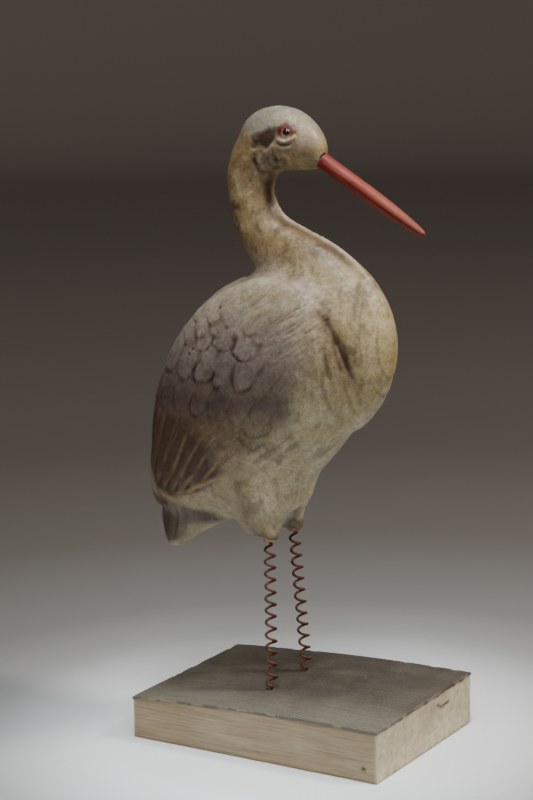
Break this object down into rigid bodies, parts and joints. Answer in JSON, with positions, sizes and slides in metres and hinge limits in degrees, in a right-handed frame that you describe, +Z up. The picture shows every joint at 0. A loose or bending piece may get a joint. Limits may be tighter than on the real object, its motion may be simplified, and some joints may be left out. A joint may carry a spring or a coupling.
{
  "type": "spring-legged stork ornament",
  "caption": "Papier-mache stork in two moulded halves on coiled wire legs over a wedge-shaped wooden block; it nods and twists on its springs.",
  "frame": {"origin": "centre of the block's flat underside", "axes": "+X the way the beak points, +Y the bird's left, +Z up"},
  "size_m": [0.1385, 0.092, 0.2893],
  "materials": {
    "painted_shell": "satin oil paint over gesso on papier-mache, antiqued with brown varnish in the recesses",
    "seam_paper": "raw glued paper",
    "red_beak": "worn crimson paint over turned wood",
    "eye_bead": "dark glossy bead with a red-brown rim",
    "leg_wire": "rust-browned iron wire",
    "plug_wood": "raw softwood",
    "block_wood": "aged bare softwood with saw marks",
    "ground_coat": "thick matt grey-green paint, chipped at the edges"
  },
  "bodies": {
    "base": {"base_block": "block_wood", "base_top_coat": "ground_coat"},
    "leg_low": {"leg_spring_right": "leg_wire"},
    "leg_high": {"leg_spring_left": "leg_wire"},
    "bird": {"shell_right": "painted_shell", "shell_left": "painted_shell", "seam_tape_front": "seam_paper", "seam_tape_back": "seam_paper", "head_plug": "plug_wood", "beak": "red_beak", "eye_right": "eye_bead", "eye_left": "eye_bead", "leg_plug_right": "plug_wood", "leg_plug_left": "plug_wood"}
  },
  "joints": [
    {"name": "nod_low", "type": "hinge", "parent": "base", "child": "leg_low", "pos_m": [-0.0075, 0, 0.0347], "axis": [0, 1, 0], "range_deg": [-8, 8], "stiffness_Nm_per_rad": 0.414, "springref_deg": 0.9, "deforming": ["leg_spring_right", "leg_spring_left"]},
    {"name": "twist", "type": "hinge", "parent": "leg_low", "child": "leg_high", "pos_m": [-0.0085, 0, 0.0578], "axis": [0, 0, 1], "range_deg": [-12, 12], "stiffness_Nm_per_rad": 0.3, "deforming": ["leg_spring_right", "leg_spring_left"]},
    {"name": "nod_high", "type": "hinge", "parent": "leg_high", "child": "bird", "pos_m": [-0.0095, 0, 0.0809], "axis": [0, 1, 0], "range_deg": [-8, 8], "stiffness_Nm_per_rad": 0.414, "springref_deg": 0.66, "deforming": ["leg_spring_right", "leg_spring_left"]}
  ],
  "couplings": [
    {"joint": "nod_high", "follows": "nod_low", "ratio": 1}
  ]
}
